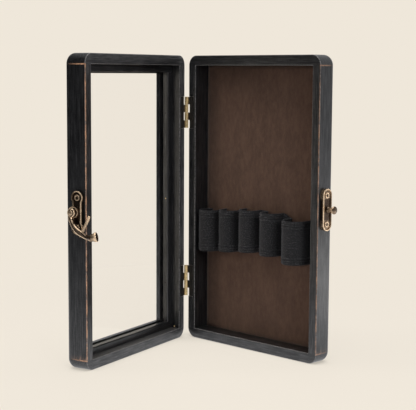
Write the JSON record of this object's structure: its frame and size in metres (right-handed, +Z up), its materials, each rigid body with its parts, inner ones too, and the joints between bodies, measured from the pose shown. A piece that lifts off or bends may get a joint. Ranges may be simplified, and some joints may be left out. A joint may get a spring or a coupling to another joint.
{
  "type": "fountain pen case",
  "caption": "Upright hinged wooden case for fountain pens: a lined tray with an elastic loop band, a glazed lid and a swing-hook latch.",
  "frame": {"origin": "centre of the bottom end of the tray, on the surface that the case stands on", "axes": "+Z up along the long sides, +Y from the tray's open rim to its back, +X from the hinges to the latch; the lid stands open at the -Y side"},
  "size_m": [0.121, 0.119, 0.17],
  "materials": {
    "stained_wood": "black-stained wood, satin, brushed grain, rubbed tan along the edges",
    "suede": "dark brown suede-like lining",
    "webbing": "black ribbed elastic webbing",
    "tack_steel": "black japanned steel tacks",
    "hinge_brass": "brass, slightly dulled",
    "latch_bronze": "antique bronze, dark in the hollows and bright on the edges",
    "glass": "clear float glass"
  },
  "bodies": {
    "tray": {"tray_top_rail": "stained_wood", "tray_bottom_rail": "stained_wood", "tray_hinge_stile": "stained_wood", "tray_latch_stile": "stained_wood", "tray_back_panel": "stained_wood", "tray_lining": "suede", "elastic_band": "webbing", "band_tacks": "tack_steel", "upper_hinge_tray_leaf": "hinge_brass", "lower_hinge_tray_leaf": "hinge_brass", "upper_hinge_pin": "hinge_brass", "lower_hinge_pin": "hinge_brass", "tray_hinge_brads": "hinge_brass", "catch_plate": "latch_bronze", "catch_knob": "latch_bronze", "catch_screws": "latch_bronze"},
    "lid": {"lid_top_rail": "stained_wood", "lid_bottom_rail": "stained_wood", "lid_hinge_stile": "stained_wood", "lid_latch_stile": "stained_wood", "lid_face_frame": "stained_wood", "glass_pane": "glass", "glass_bead_top": "stained_wood", "glass_bead_bottom": "stained_wood", "glass_bead_hinge_side": "stained_wood", "glass_bead_latch_side": "stained_wood", "bead_brads": "hinge_brass", "upper_hinge_lid_leaf": "hinge_brass", "lower_hinge_lid_leaf": "hinge_brass", "lid_hinge_brads": "hinge_brass", "hook_plate": "latch_bronze", "hook_rivet": "latch_bronze", "hook_screws": "latch_bronze"},
    "hook": {"latch_hook": "latch_bronze"}
  },
  "joints": [
    {"name": "lid_hinge", "type": "hinge", "parent": "tray", "child": "lid", "pos_m": [-0.0519, -0.00675, 0.085], "axis": [0, 0, -1], "range_deg": [-75.8, 122.2]},
    {"name": "hook_pivot", "type": "hinge", "parent": "lid", "child": "hook", "pos_m": [-0.03374, -0.10727, 0.086], "axis": [0.2453, -0.9694, 0], "range_deg": [-90, 41]}
  ]
}
